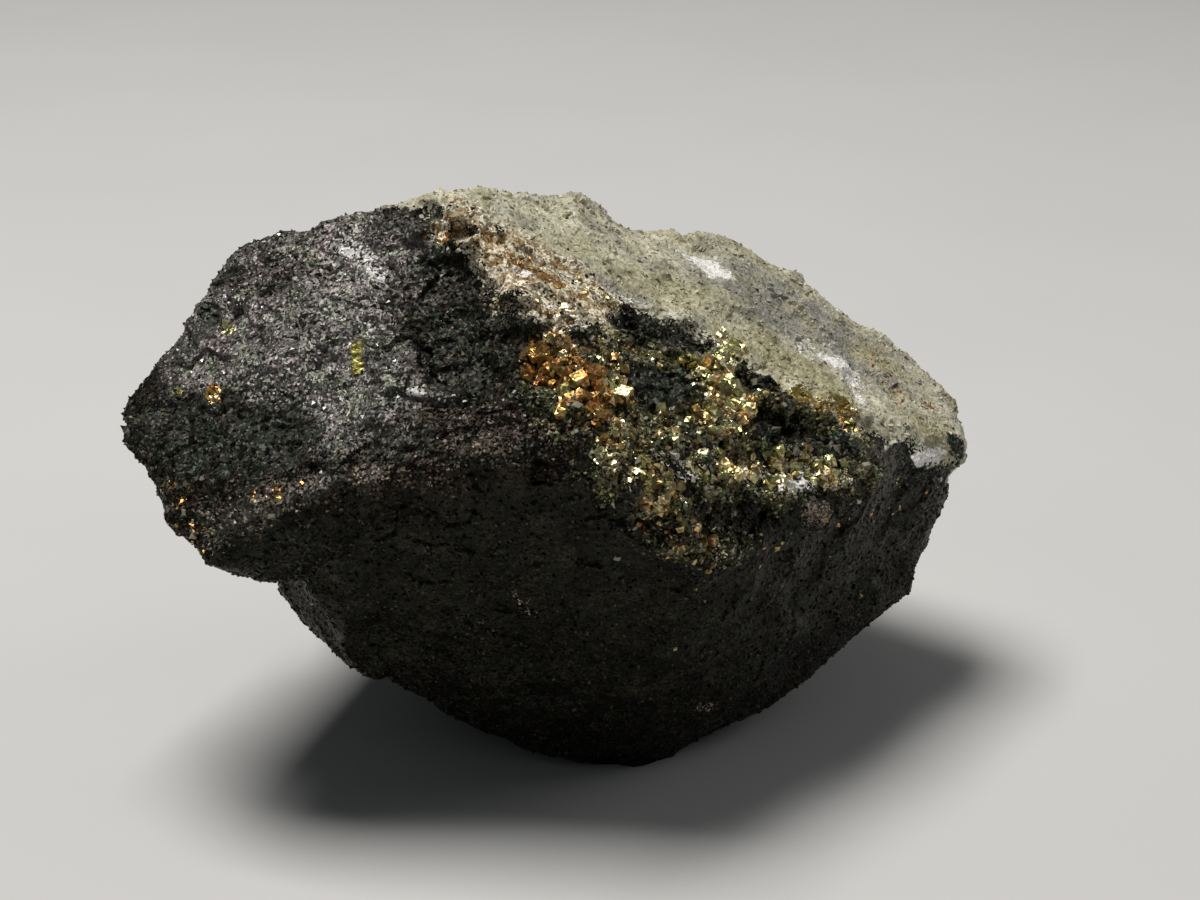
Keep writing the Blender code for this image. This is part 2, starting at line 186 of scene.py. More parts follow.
# White: the same. The last five, on the magnetite face and its lower lip, are painted glints and a painted
# highlight where the lip catches the light.
WHITE_AND_GLINT_AREAS = (
    ((8.4, 9.9, 33.0), (11.3, 7.6, 32.0), 0.6, 1.0),
    ((9.8, 9.4, 32.6), (11.3, 7.6, 32.0), 1.15, 1.0),
    ((18.4, 4.4, 27.2), (21.4, 4.2, 25.0), 1.9, 0.38),
    ((19.5, 4.2, 26.5), (21.2, 4.2, 25.1), 1.2, 0.9),
    ((20.8, 3.6, 25.3), (21.6, 1.3, 24.4), 0.8, 0.6),
    ((25.6, -0.1, 20.4), (27.8, 2.2, 19.7), 0.6, 0.9),
    ((12.0, -13.2, 24.2), (20.4, -7.6, 22.2), 1.1, 0.55),
    ((-1.4, -9.8, 36.1), (1.0, -11.6, 35.2), 1.3, 0.36),
    ((3.0, -4.6, 34.7), (5.6, -3.4, 33.5), 0.6, 0.4),
    ((14.6, -11.8, 23.4), (16.2, -10.6, 23.1), 0.9, 1.0),
    ((16.8, -10.0, 22.8), (18.8, -9.0, 22.4), 0.5, 0.7),
    ((-7.2, -5.8, 39.0), (-5.8, -7.8, 37.6), 0.5, 0.5),
    ((-3.0, -7.6, 37.4), (-2.2, -7.4, 37.2), 0.5, 1.0),
    ((4.0, -19.2, 27.8), (8.8, -16.8, 26.0), 1.2, 0.36),
    # Painted glints on the magnetite face.
    ((-15.0, -2.8, 37.6), (-12.7, -5.7, 36.6), 0.9, 0.46),
    ((-15.0, -3.0, 37.4), (-14.7, -3.4, 37.2), 0.35, 1.0),
    ((-12.9, -5.7, 36.6), (-12.6, -6.1, 36.4), 0.3, 1.0),
    # Painted highlight where the lower lip catches the light.
    ((-9.8, -14.9, 31.1), (-9.1, -14.9, 31.2), 0.35, 0.7),
    ((-7.0, -15.7, 31.4), (-5.9, -15.9, 31.4), 0.45, 0.9),
)
# Yellow films.
YELLOW_AREAS = (
    ((-13.6, -10.5, 32.8), (-13.5, -11.9, 31.6), 0.5, 0.9),
    ((-26.3, -8.5, 28.8), (-25.9, -8.8, 28.7), 0.5, 0.6),
    ((5.6, -9.8, 32.2), (9.4, -7.2, 30.6), 0.6, 0.6),
    ((13.4, -5.6, 28.2), (17.4, -3.6, 26.5), 0.6, 0.5),
    ((16.8, -3.4, 26.8), (20.4, -2.2, 24.8), 0.8, 0.4),
)
# Pinkish brown minerals in the dark stone. The first is also painted shade.
BROWN_AREAS = (
    # Painted shade over brown stone on the dark facet between the silvery face and the ridge, which is turned
    # away from the light.
    ((-8.1, -9.0, 35.6), (-5.4, -12.0, 33.6), 3.4, 0.65),
    ((-9.0, -17.0, 29.2), (2.0, -18.2, 29.6), 2.4, 0.5),
    ((-13.4, -17.6, 26.6), (-7.0, -19.4, 26.8), 1.4, 0.45),
    ((-27.0, -12.0, 25.6), (-19.0, -16.6, 26.0), 2.4, 0.4),
    ((-25.4, -15.6, 22.4), (-17.0, -17.9, 25.4), 1.6, 0.35),
    ((-22.0, -2.5, 34.6), (-16.5, -3.5, 36.0), 1.6, 0.35),
)
# Pale pinkish lumps in the dark stone.
PINK_AREAS = (
    ((17.1, -10.9, 20.9), (17.9, -10.4, 20.6), 0.9, 1.0),
    ((7.6, -19.2, 22.1), (8.3, -18.8, 21.7), 0.5, 0.55),
    ((-3.0, -15.8, 17.0), (-2.0, -15.4, 15.4), 0.7, 0.35),
    ((-5.8, -14.8, 14.2), (-5.4, -14.8, 14.0), 0.5, 0.3),
    ((9.2, -10.6, 5.8), (10.4, -10.0, 5.2), 0.9, 0.4),
    ((16.8, -5.2, 6.8), (17.4, -5.0, 5.4), 0.5, 0.4),
    ((-10.4, -18.0, 21.8), (-9.4, -18.2, 21.6), 0.6, 0.3),
    ((3.4, -13.0, 12.4), (4.6, -12.6, 11.2), 0.5, 0.25),
    ((-6.0, 18.4, 17.0), (-3.4, 18.6, 14.4), 1.0, 0.4),
    ((-18.0, 12.0, 12.0), (-17.0, 12.6, 9.0), 0.8, 0.4),
)
# Orange and brown stains on the pale matrix.
RUST_AREAS = (
    ((-7.0, -4.4, 39.7), (-6.2, -4.8, 39.5), 0.9, 0.55),
    ((-4.6, -5.0, 38.7), (-3.6, -5.4, 38.2), 0.5, 0.55),
    ((-3.2, -7.2, 37.4), (0.0, -6.6, 36.8), 1.0, 1.0),
    ((-2.4, -9.6, 36.5), (1.2, -9.4, 35.7), 1.4, 0.6),
    ((-4.6, -6.6, 38.2), (-3.0, -7.0, 37.6), 0.7, 0.7),
    ((1.2, -6.6, 35.5), (2.2, -6.8, 35.1), 0.9, 0.6),
    ((-1.4, -11.4, 35.9), (1.4, -11.2, 35.4), 1.2, 0.6),
    ((-5.4, -8.2, 37.2), (-4.6, -9.0, 36.8), 0.5, 0.45),
    ((16.4, -2.2, 27.2), (20.6, -1.2, 25.0), 1.0, 0.5),
    ((23.5, 9.0, 25.2), (25.4, 3.6, 22.8), 1.8, 0.55),
    ((22.6, 1.6, 23.8), (27.0, 3.0, 21.8), 1.2, 0.42),
    ((27.1, 5.2, 22.5), (27.5, 5.8, 22.3), 0.6, 0.5),
    ((25.8, 1.6, 22.0), (28.0, 2.8, 20.8), 1.0, 0.35),
    ((12.0, 18.0, 24.0), (17.0, 15.0, 22.0), 1.6, 0.5),
)
# Grey and olive tints of the pale matrix.
GREY_AREAS = (
    ((1.2, -4.6, 36.0), (3.4, -5.4, 34.5), 1.1, 0.9),
    ((3.0, -3.8, 34.9), (5.5, -2.3, 33.5), 1.1, 0.9),
    ((12.5, 3.8, 30.8), (16.3, 5.5, 28.7), 1.9, 0.9),
    ((13.0, 8.0, 30.6), (22.5, 8.0, 25.8), 4.8, 0.85),
    ((22.0, 0.4, 24.0), (26.0, 1.2, 21.6), 1.6, 0.25),
    ((-4.0, 6.0, 39.0), (4.0, 12.0, 36.0), 2.6, 0.55),
    ((-10.0, 16.0, 32.0), (2.0, 19.0, 28.0), 4.0, 0.6),
)
OLIVE_AREAS = (
    ((4.5, -1.0, 34.4), (10.5, 2.5, 31.6), 2.2, 0.7),
    ((12.0, -1.5, 30.0), (17.5, 0.5, 27.6), 1.8, 0.9),
    ((14.5, 1.6, 29.0), (19.4, 0.0, 26.0), 1.8, 0.9),
    ((-1.0, -4.0, 37.4), (2.0, 0.0, 37.0), 1.8, 0.6),
    ((25.6, 2.0, 22.2), (28.6, 3.0, 20.4), 1.4, 0.8),
    ((22.8, 7.8, 25.2), (25.2, 8.4, 24.0), 1.3, 0.9),
    ((6.0, 15.0, 34.0), (16.0, 14.0, 29.0), 2.4, 0.6),
)
# Green-black patches. Those that lie on the hollows, pits and crack listed above, and on the dark facet between
# the silvery face and the ridge, are also painted shade there.
BLACK_AND_SHADE_AREAS = (
    ((-27.4, -10.6, 26.8), (-19.0, -14.4, 27.0), 3.0, 0.95),
    ((4.2, -6.8, 33.0), (9.8, -4.0, 31.0), 1.7, 0.66),
    ((5.6, -13.0, 31.0), (8.4, -10.0, 30.2), 1.8, 0.85),
    ((7.0, -15.0, 28.6), (10.4, -13.0, 27.0), 1.2, 0.6),
    ((12.8, -5.4, 28.4), (14.4, -5.8, 27.8), 1.0, 1.0),
    ((13.8, -9.4, 26.0), (19.8, -5.6, 23.4), 1.2, 0.95),
    ((29.0, 3.8, 20.4), (29.6, 4.6, 19.0), 0.8, 0.8),
    # Painted shade in small pits and along a crack.
    ((0.8, -13.0, 34.9), (1.9, -13.3, 34.5), 0.8, 0.9),
    ((-2.6, -13.1, 35.1), (-1.2, -13.8, 34.6), 0.8, 0.9),
    ((-9.6, -2.7, 40.1), (-8.8, -3.5, 40.0), 0.7, 1.0),
    ((-7.3, -5.0, 39.4), (-6.1, -5.3, 39.2), 0.5, 1.0),
    ((-24.9, -2.9, 32.7), (-24.3, -3.5, 32.2), 0.8, 0.7),
    ((-22.6, -4.2, 33.0), (-18.7, -3.6, 34.9), 0.4, 0.7),
    # Painted shade on the dark facet between the silvery face and the ridge, which is turned away from the
    # light.
    ((-8.4, -8.0, 36.4), (-5.4, -14.0, 33.0), 3.6, 0.55),
    ((-7.4, -11.0, 34.0), (-5.4, -14.2, 32.9), 2.4, 0.7),
    ((-11.6, -17.0, 28.2), (-8.6, -17.4, 28.8), 1.4, 0.5),
    ((25.8, 0.2, 18.8), (28.6, 2.6, 17.4), 1.4, 0.7),
)
# The silvery field of the magnetite face: silvery grains, and painted sheen where the face mirrors the overhead
# light. The dark patches take this much of it.
SILVER_AND_SHEEN_LOSS = 0.8
SILVER_AND_SHEEN_AREAS = (
    ((-14.7, -2.5, 37.7), (-13.8, -10.6, 32.6), 3.0, 1.0),
    ((-24.4, -1.6, 33.4), (-12.8, -6.0, 36.3), 5.0, 0.8),
    ((-22.6, -6.6, 31.0), (-13.4, -14.2, 30.6), 4.2, 0.95),
    ((-26.4, -7.0, 29.6), (-18.4, -12.6, 29.6), 1.6, 0.7),
    # Painted highlight along the lower lip, where it catches the light.
    ((-10.6, -15.0, 30.7), (-5.8, -16.2, 31.2), 0.5, 0.9),
    # Painted silvery-blue glints in the dark hollow by the vein.
    ((6.2, -5.2, 32.4), (9.4, -3.4, 31.2), 0.7, 0.9),
    ((-22.5, -17.2, 22.8), (-15.5, -18.2, 26.4), 1.3, 0.4),
    ((20.6, -5.6, 22.8), (24.0, -2.2, 21.6), 1.6, 0.55),
)
# The pale matrix lies beyond a plane through the vein's upper edge, and in a tongue over the top of the ridge.
MATRIX_EDGE = (2.7, -4.3, 35.0)
MATRIX_SIDE = (0.33, 0.72, 0.61)
CREAM_AREAS = (
    ((-6.8, -4.4, 39.6), (-3.6, -7.8, 37.6), 1.9, 1.0),
    ((-3.6, -7.8, 37.6), (-0.8, -11.0, 36.0), 2.2, 1.0),
    ((-2.6, -5.4, 37.8), (2.2, -7.6, 35.0), 2.4, 1.0),
    ((-0.8, -11.0, 36.0), (0.6, -12.8, 35.0), 1.4, 1.0),
    ((0.6, -4.6, 36.4), (3.4, -5.5, 34.5), 1.3, 1.0),
)
# It ends at another plane underneath, that falls towards the back.
MATRIX_UNDERSIDE = (28.0, 2.0, 19.0)
MATRIX_DOWN = (0.05, 0.55, 0.84)
MATRIX_BLEND = 1.8
MATRIX_WAVER = 1.3
# A thin fringe of pyrite follows the edge of the matrix behind the stone's middle.
FRINGE = {"share": 0.35, "behind": 6.0, "fade": 6.0, "width": 1.3, "level": 1.5, "waver": 2.0}
# Crystals come in clumps: how much thicker or thinner they stand, and the least and the most.
CLUMPS = (1.7, 1.5, 2, 130)
CLUMP_RANGE = (0.12, 1.5)

# -------- crystals and grains, in millimetres

# Each piece, with the shares that its material reads.
STYLES = {
    "pyrite_crystals": {
        "sizes": (0.06, 0.44), "skew": 4.0, "spacing": 0.14, "sink": 0.55, "most": 12000,
        "reads": ("tarnish", "yellow"),
    },
    "magnetite_grains": {
        "sizes": (0.06, 0.17), "skew": 1.6, "spacing": 0.24, "sink": 0.25, "most": 24000,
        "reads": ("silver", "brown", "vein", "black"),
    },
    "pale_grains": {
        "sizes": (0.06, 0.19), "skew": 1.6, "spacing": 0.18, "sink": 0.5, "most": 21000,
        "reads": ("vein", "matrix", "white", "cream", "rust", "pink", "grey", "olive", "yellow"),
    },
}
BARE_BASE = 0.6
"""Nothing stands out of the stone up to this height above the table."""
CLEARANCE = 1.7
"""No crystal's middle is nearer the table than this many of its sizes."""
STRETCH = (0.75, 1.25)

# How many stand on a square millimetre of each mineral, and the part of them that another takes away.
PYRITE_DENSITY = {"lone": 0.01, "matrix_loss": 0.7, "black_loss": 0.9}
MAGNETITE_DENSITY = {"dark": 4.6, "everywhere": 0.06, "pyrite_loss": 0.7}
PALE_DENSITY = {"matrix": 6.5, "vein": 12.0, "white": 4.0, "pink": 1.0}

# How their sizes swell.
PYRITE_SWELL = {"lone": 0.5, "more": 0.5, "thick": 10.0}
MAGNETITE_SWELL = 0.8
PALE_SHRINK = 0.3

# Forms, from a cube whose corners are 1 from its middle along each axis.
PYRITOHEDRON_EDGE = (0, 1.45, 0.72)
OCTAHEDRON_CORNER = (1.35, 0, 0)
RHOMB_SLANT = (0.35, 0.25)
SPLINTER_SCALE = (0.55, 1.25)
SPLINTER_SHIFT = (-0.2, 0.2)


def new_object(name, data):
    obj = bpy.data.objects.new(name, data)
    bpy.context.scene.collection.objects.link(obj)
    return obj


def settle(obj):
    """Applies the modifiers of an object to its mesh."""
    bpy.context.view_layer.update()
    graph = bpy.context.evaluated_depsgraph_get()
    mesh = bpy.data.meshes.new_from_object(obj.evaluated_get(graph))
    obj.modifiers.clear()
    obj.data = mesh


# -------- random values in space


# What spreads the bits of a cell's place and channel, and a mask that keeps 32 of them.
SPREAD = (73856093, 19349663, 83492791, 39916801)
SPREAD_AGAIN = 0x45D9F3B
MASK = 0xFFFFFFFF


def cell_values(cells, channel):
    """A random number from 0 to 1 for each cell, told apart by three whole numbers."""
    x, y, z = cells.astype(np.int64).T
    mixed = ((x * SPREAD[0]) ^ (y * SPREAD[1]) ^ (z * SPREAD[2]) ^ (channel * SPREAD[3])) & MASK
    for _ in range(2):
        mixed = ((mixed ^ (mixed >> 16)) * SPREAD_AGAIN) & MASK
    mixed ^= mixed >> 16
    return mixed / MASK


def smooth_noise(points, size, channel):
    """Soft lumps of about this size, from -1 to 1."""
    place = points / size
    cell = np.floor(place)
    part = place - cell
    part = part * part * (3 - 2 * part)
    total = np.zeros(len(points))
    for corner in itertools.product((0, 1), repeat=3):
        weight = np.prod(np.where(corner, part, 1 - part), axis=1)
        total += weight * cell_values(cell + corner, channel)
    return 2 * total - 1


def layered_noise(points, height, size, layers, channel):
    """Soft lumps of about this height and size, with smaller ones on them."""
    total = np.zeros(len(points))
    for layer in range(layers):
        total += smooth_noise(points, size / 2**layer, channel + 11 * layer) / 2**layer
    return height * total


def nearest_seed(points, size, channel):
    """The nearest of the random seeds, one to a cell: the way to it in cells, and its cell."""
    place = points / size
    home = np.floor(place)
    best = np.full(len(points), np.inf)
    way = np.zeros_like(place)
    owner = np.zeros_like(home)
    for step in itertools.product((-1, 0, 1), repeat=3):
        cell = home + step
        seed = cell + np.stack([cell_values(cell, channel + axis) for axis in range(3)], 1)
        apart = place - seed
        distance = (apart**2).sum(1)
        nearer = distance < best
        best = np.where(nearer, distance, best)
        way[nearer] = apart[nearer]
        owner[nearer] = cell[nearer]
    return way, owner


def facet_height(points, size, tilt, step, channel):
    """Height of a surface broken into flat facets, each with a slope and a level of its own."""
    channel *= 20
    along = np.array(CLEAVAGE) / np.linalg.norm(CLEAVAGE)
    points = points - (1 - 1 / CLEAVAGE_STRETCH) * (points @ along)[:, None] * along
    way, owner = nearest_seed(points, size, channel)
    slope = np.stack([cell_values(owner, channel + 3 + axis) for axis in range(3)], 1) - 0.5
    level = cell_values(owner, channel + 6) - 0.5
    return (way * slope).sum(1) * 2 * tilt * size + level * step


# -------- where the minerals lie


def way_from_stretch(points, start, end):
    """From the nearest place on the stretch to each point."""
    start, end = np.array(start), np.array(end)
    along = ((points - start) @ (end - start)) / ((end - start) ** 2).sum()
    return points - start - np.clip(along, 0, 1)[:, None] * (end - start)


def reach(points, start, end, radius, waver):
    """1 on the stretch, falling to 0 round its radius."""
    low = np.minimum(start, end) - 2 * radius
    high = np.maximum(start, end) + 2 * radius
    near = np.flatnonzero(((points > low) & (points < high)).all(1))
    there = np.zeros(len(points))
    distance = np.linalg.norm(way_from_stretch(points[near], start, end), axis=1) / radius
    there[near] = np.clip(REACH_LEVEL - REACH_FALL * distance + waver[near], 0, 1)
    return there


def strongest(points, stretches, waver):
    """The largest share that any of the stretches gives each point."""
    return np.max([share * reach(points, *stretch, waver) for *stretch, share in stretches], axis=0)


def mineral_shares(points):
    """For each point of the surface, in millimetres, the share of each mineral there."""
    waver = layered_noise(points, *EDGE_WAVER)
    shares = {name: np.zeros(len(points)) for name in ("pyrite", "tarnish", "crystals")}
    for start, end, radius, share, tarnish, crystals in PYRITE_AREAS:
        near = reach(points, start, end, radius, waver)
        shares["tarnish"] = np.where(near * share > shares["pyrite"], tarnish, shares["tarnish"])
        shares["pyrite"] = np.maximum(shares["pyrite"], near * share)
        shares["crystals"] = np.maximum(shares["crystals"], near * crystals)
    areas = {
        "vein": VEIN_AREAS,
        "white": WHITE_AND_GLINT_AREAS,
        "yellow": YELLOW_AREAS,
        "grey": GREY_AREAS,
        "olive": OLIVE_AREAS,
        "brown": BROWN_AREAS,
        "pink": PINK_AREAS,
        "rust": RUST_AREAS,
        "black": BLACK_AND_SHADE_AREAS,
        "silver": SILVER_AND_SHEEN_AREAS,
        "cream": CREAM_AREAS,
    }
    for name, stretches in areas.items():
        shares[name] = strongest(points, stretches, waver)
    shares["silver"] *= 1 - SILVER_AND_SHEEN_LOSS * shares["black"]

    beyond = (points - np.array(MATRIX_EDGE)) @ np.array(MATRIX_SIDE)
    above = (points - np.array(MATRIX_UNDERSIDE)) @ np.array(MATRIX_DOWN)
    inside = np.minimum(beyond, above)
    slab = np.clip(0.5 + inside / MATRIX_BLEND + MATRIX_WAVER * waver, 0, 1)
    shares["matrix"] = np.maximum(slab, shares["cream"])

    behind = np.clip((points[:, 1] - FRINGE["behind"]) / FRINGE["fade"], 0, 1)
    edge = FRINGE["level"] - np.abs(inside) / FRINGE["width"] + FRINGE["waver"] * waver
    fringe = behind * np.clip(edge, 0, 1)
    shares["pyrite"] = np.maximum(shares["pyrite"], FRINGE["share"] * fringe)
    shares["crystals"] = np.maximum(shares["crystals"], fringe)
    shares["crystals"] *= np.clip(1.0 + layered_noise(points, *CLUMPS), *CLUMP_RANGE)
    return shares


# -------- the stone's fine surface


def numbers(collection, name, width, kind=np.float32):
    values = np.empty(len(collection) * width, kind)
    collection.foreach_get(name, values)
    return values.reshape(-1, width) if width > 1 else values


def vertex_places(mesh):
    """The place of each vertex, in millimetres."""
    return numbers(mesh.vertices, "co", 3).astype(float) / MM


def ledge_height(points, start, end, across, height):
    """Up above the ledge's edge and down under it, fading out across the ledge and at its ends."""
    way = way_from_stretch(points, start, end)
    distance = np.linalg.norm(way, axis=1) / across
    fade = np.exp(-(distance**2))
    return height * fade * np.tanh(way[:, 2] / LEDGE_EDGE)


def hollow_depth(points, start, end, radius, depth, waver):
    distance = np.linalg.norm(way_from_stretch(points, start, end), axis=1) / radius
    return depth * np.clip(HOLLOW_RIM - distance + waver, 0, 1)


def remeshed_copy(node):
    stone = new_object("stone", node.data.copy())
    remesh = stone.modifiers.new("even_faces", "REMESH")
    remesh.mode = "VOXEL"
    remesh.voxel_size = VOXEL * MM
    smooth = stone.modifiers.new("soften", "SMOOTH")
    smooth.factor = 0.5
    smooth.iterations = SMOOTHING_ROUNDS
    settle(stone)
    return stone


def surface_height(points, shares):
    """How far the broken surface stands above the solid's, at each point."""
    under = np.clip((UNDERSIDE["top"] - points[:, 2]) / UNDERSIDE["fade"], 0, 1) * (1 - shares["matrix"])
    roughness = 1 - MATRIX_SMOOTHNESS * shares["matrix"] - UNDERSIDE["smoothness"] * under
    height = layered_noise(points, *WAVES)
    for facets in FACETS:
        height += facet_height(points, *facets) * roughness
    folds = np.abs(smooth_noise(points, UNDERSIDE_FOLDS["size"], UNDERSIDE_FOLDS["channel"]))
    height += UNDERSIDE_FOLDS["height"] * (UNDERSIDE_FOLDS["level"] - folds) * under
    vein = np.flatnonzero(shares["vein"])
    for facets in VEIN_FACETS:
        height[vein] += facet_height(points[vein], *facets) * shares["vein"][vein]
    wavy = points + np.stack([layered_noise(points, *waver) for waver in LEDGE_WAVER], 1)
    for ledge in LEDGES:
        height += ledge_height(wavy, *ledge)
    waver = layered_noise(points, *HOLLOW_WAVER)
    for hollow in HOLLOWS:
        height -= hollow_depth(points, *hollow, waver)
    return height


def random_shift(points):
    """A small step for each point, at random."""
    places = np.round(points * CORNER_JITTER["steps"])
    shift = np.stack([cell_values(places, CORNER_JITTER["channel"] + axis) for axis in range(3)], 1) - 0.5
    return 2 * CORNER_JITTER["by"] * shift


def break_surface(stone):
    """Moves each vertex along its normal onto the facets, ledges and grains of the broken stone."""
    mesh = stone.data
    points = vertex_places(mesh)
    normals = numbers(mesh.vertex_normals, "vector", 3).astype(float)
    height = surface_height(points, mineral_shares(points))
    moved = points + normals * height[:, None] + random_shift(points)
    flat = points[:, 2] < FLAT_BASE
    moved[flat] = points[flat]
    moved[:, 2] = np.maximum(moved[:, 2], 0.0)
    mesh.vertices.foreach_set("co", (moved * MM).astype(np.float32).ravel())
    mesh.update()


def thin_out(stone):
    faces = sum(len(p.vertices) - 2 for p in stone.data.polygons)
    thinner = stone.modifiers.new("fewer_faces", "DECIMATE")
    thinner.ratio = min(1.0, SURFACE_TRIANGLES / faces)
    thinner.use_collapse_triangulate = True
    settle(stone)


def keep_values(mesh, values):
    """Keeps a number of each name for each vertex, where the materials read them."""
    for name, given in values.items():
        attribute = mesh.attributes.new(name, "FLOAT", "POINT")
        attribute.data.foreach_set("value", given.astype(np.float32))


def make_stone(node):
    stone = remeshed_copy(node)
    break_surface(stone)
    thin_out(stone)
    keep_values(stone.data, mineral_shares(vertex_places(stone.data)))
    stone.data.shade_flat()
    return stone


# -------- crystals and grains


def solid_round(corners):
    """The closed solid that these corners span: its corners, and its triangles facing out."""
    shape = bmesh.new()
    for corner in corners:
        shape.verts.new(corner)
    bmesh.ops.convex_hull(shape, input=shape.verts)
    shape.verts.index_update()
    places = np.array([v.co for v in shape.verts])
    faces = np.array([[v.index for v in f.verts] for f in shape.faces])
    shape.free()
    sides = places[faces]
    outward = np.cross(sides[:, 1] - sides[:, 0], sides[:, 2] - sides[:, 0])
    inside_out = (outward * sides.mean(1)).sum(1) < 0
    faces[inside_out] = faces[inside_out][:, ::-1]
    return places, faces


def signs(*lengths):
    """All corners with these distances from the middle, on either side."""
    return {tuple(a * s for a, s in zip(lengths, side)) for side in itertools.product((-1, 1), repeat=3)}


def turns(corner):
    return [corner, corner[1:] + corner[:1], corner[2:] + corner[:2]]


CUBE = sorted(signs(1, 1, 1))
PYRITOHEDRON = sorted({turn for corner in signs(*PYRITOHEDRON_EDGE) for turn in turns(corner)} | set(CUBE))
OCTAHEDRON = sorted({turn for corner in signs(*OCTAHEDRON_CORNER) for turn in turns(corner)})
RHOMB = [(x + RHOMB_SLANT[0] * z, y + RHOMB_SLANT[1] * x, z) for x, y, z in CUBE]


def splinter(corners, rng):
    """The same corners, each moved in or out at random."""
    return [
        tuple(axis * rng.uniform(*SPLINTER_SCALE) + rng.uniform(*SPLINTER_SHIFT) for axis in corner)
        for corner in corners
    ]


def random_turns(count, rng):
    """As many rotations, with no side favoured."""
    w, x, y, z = (rng.normal(size=count) for _ in range(4))
    length = np.sqrt(w * w + x * x + y * y + z * z)
    w, x, y, z = w / length, x / length, y / length, z / length
    rows = [
        [1 - 2 * (y * y + z * z), 2 * (x * y - z * w), 2 * (x * z + y * w)],
        [2 * (x * y + z * w), 1 - 2 * (x * x + z * z), 2 * (y * z - x * w)],
        [2 * (x * z - y * w), 2 * (y * z + x * w), 1 - 2 * (x * x + y * y)],
    ]
    return np.moveaxis(np.array(rows), 2, 0)


def read_faces(stone):
    """The corners of each of the stone's faces, in millimetres, and the share of each mineral there."""
    mesh = stone.data
    mesh.calc_loop_triangles()
    corners = numbers(mesh.loop_triangles, "vertices", 3, np.int32)
    points = vertex_places(mesh)[corners]
    shares = {}
    for attribute in mesh.attributes:
        if attribute.data_type == "FLOAT" and attribute.domain == "POINT":
            shares[attribute.name] = numbers(attribute.data, "value", 1)[corners].mean(1)
    return points, shares


def pick_places(points, density, style, rng):
    """Places on faces, as thick as the density there, at most one to a cell of the style's spacing."""
    outward = np.cross(points[:, 1] - points[:, 0], points[:, 2] - points[:, 0])
    area = np.linalg.norm(outward, axis=1) / 2
    wanted = area * density * (points[:, :, 2].mean(1) > BARE_BASE)
    count = int(min(wanted.sum(), 4 * style["most"]))
    face = rng.choice(len(wanted), count, p=wanted / wanted.sum())
    first, second = rng.random((2, count))
    over = first + second > 1
    first, second = np.where(over, 1 - first, first), np.where(over, 1 - second, second)
    a, b, c = points[face].transpose(1, 0, 2)
    places = a + (b - a) * first[:, None] + (c - a) * second[:, None]
    kept = np.unique(np.floor(places / style["spacing"]), axis=0, return_index=True)[1]
    kept = rng.permutation(kept)[: style["most"]]
    normals = outward[face[kept]]
    return places[kept], normals / np.linalg.norm(normals, axis=1, keepdims=True), face[kept]


def grow(name, faces, forms, rng, growth):
    """One piece of many small closed solids on the stone, each with its own form, size and turn."""
    points, shares = faces
    style = STYLES[name]
    density, swell = growth(shares)
    places, normals, on_face = pick_places(points, density, style, rng)
    count = len(places)
    small, large = style["sizes"]
    size = (small + (large - small) * rng.random(count) ** style["skew"]) * swell[on_face]
    stretch = rng.uniform(*STRETCH, (count, 3)) * size[:, None]
    turn = random_turns(count, rng)
    middle = places - normals * (size * style["sink"])[:, None]
    middle[:, 2] = np.maximum(middle[:, 2], CLEARANCE * size)
    form = rng.integers(len(forms), size=count)
    values = {"tone": rng.random(count), **{key: shares[key][on_face] for key in style["reads"]}}
    corners, faces, owner, used = [], [], [], 0
    for index, (form_corners, form_faces) in enumerate(forms):
        these = np.flatnonzero(form == index)
        spread = form_corners[None] * stretch[these][:, None]
        corners.append((np.einsum("nij,nkj->nki", turn[these], spread) + middle[these][:, None]).reshape(-1, 3))
        starts = used + np.arange(len(these)) * len(form_corners)
        faces.append((form_faces[None] + starts[:, None, None]).reshape(-1, 3))
        owner.append(np.repeat(these, len(form_corners)))
        used += len(owner[-1])
    owner = np.concatenate(owner)
    mesh = bpy.data.meshes.new(name)
    mesh.from_pydata(np.concatenate(corners) * MM, [], np.concatenate(faces))
    keep_values(mesh, {key: value[owner] for key, value in values.items()})
    mesh.shade_flat()
    return new_object(name, mesh)


def pyrite_growth(shares):
    """Lone crystals are small, and those in the thick of the vein large."""
    lone = PYRITE_DENSITY["lone"] * (1 - PYRITE_DENSITY["matrix_loss"] * shares["matrix"])
    density = np.maximum(shares["crystals"], lone) * (1 - PYRITE_DENSITY["black_loss"] * shares["black"])
    thick = np.clip(shares["crystals"] / PYRITE_SWELL["thick"], 0, 1)
    return density, PYRITE_SWELL["lone"] + PYRITE_SWELL["more"] * thick


def magnetite_growth(shares):
    """Grains are larger in the green-black patches, also where these are painted shade."""
    bare = np.maximum(shares["matrix"], shares["yellow"])
    bare = np.maximum(bare, MAGNETITE_DENSITY["pyrite_loss"] * shares["pyrite"])
    density = MAGNETITE_DENSITY["dark"] * (1 - bare) + MAGNETITE_DENSITY["everywhere"]
    return density, 1 + MAGNETITE_SWELL * shares["black"] * (1 - shares["silver"])


def pale_growth(shares):
    density = PALE_DENSITY["matrix"] * shares["matrix"] + PALE_DENSITY["vein"] * shares["vein"] ** 2
    density += PALE_DENSITY["white"] * shares["white"]
    density += PALE_DENSITY["pink"] * shares["pink"]
    return density * (1 - shares["black"]), 1 - PALE_SHRINK * shares["white"]


# -------- materials


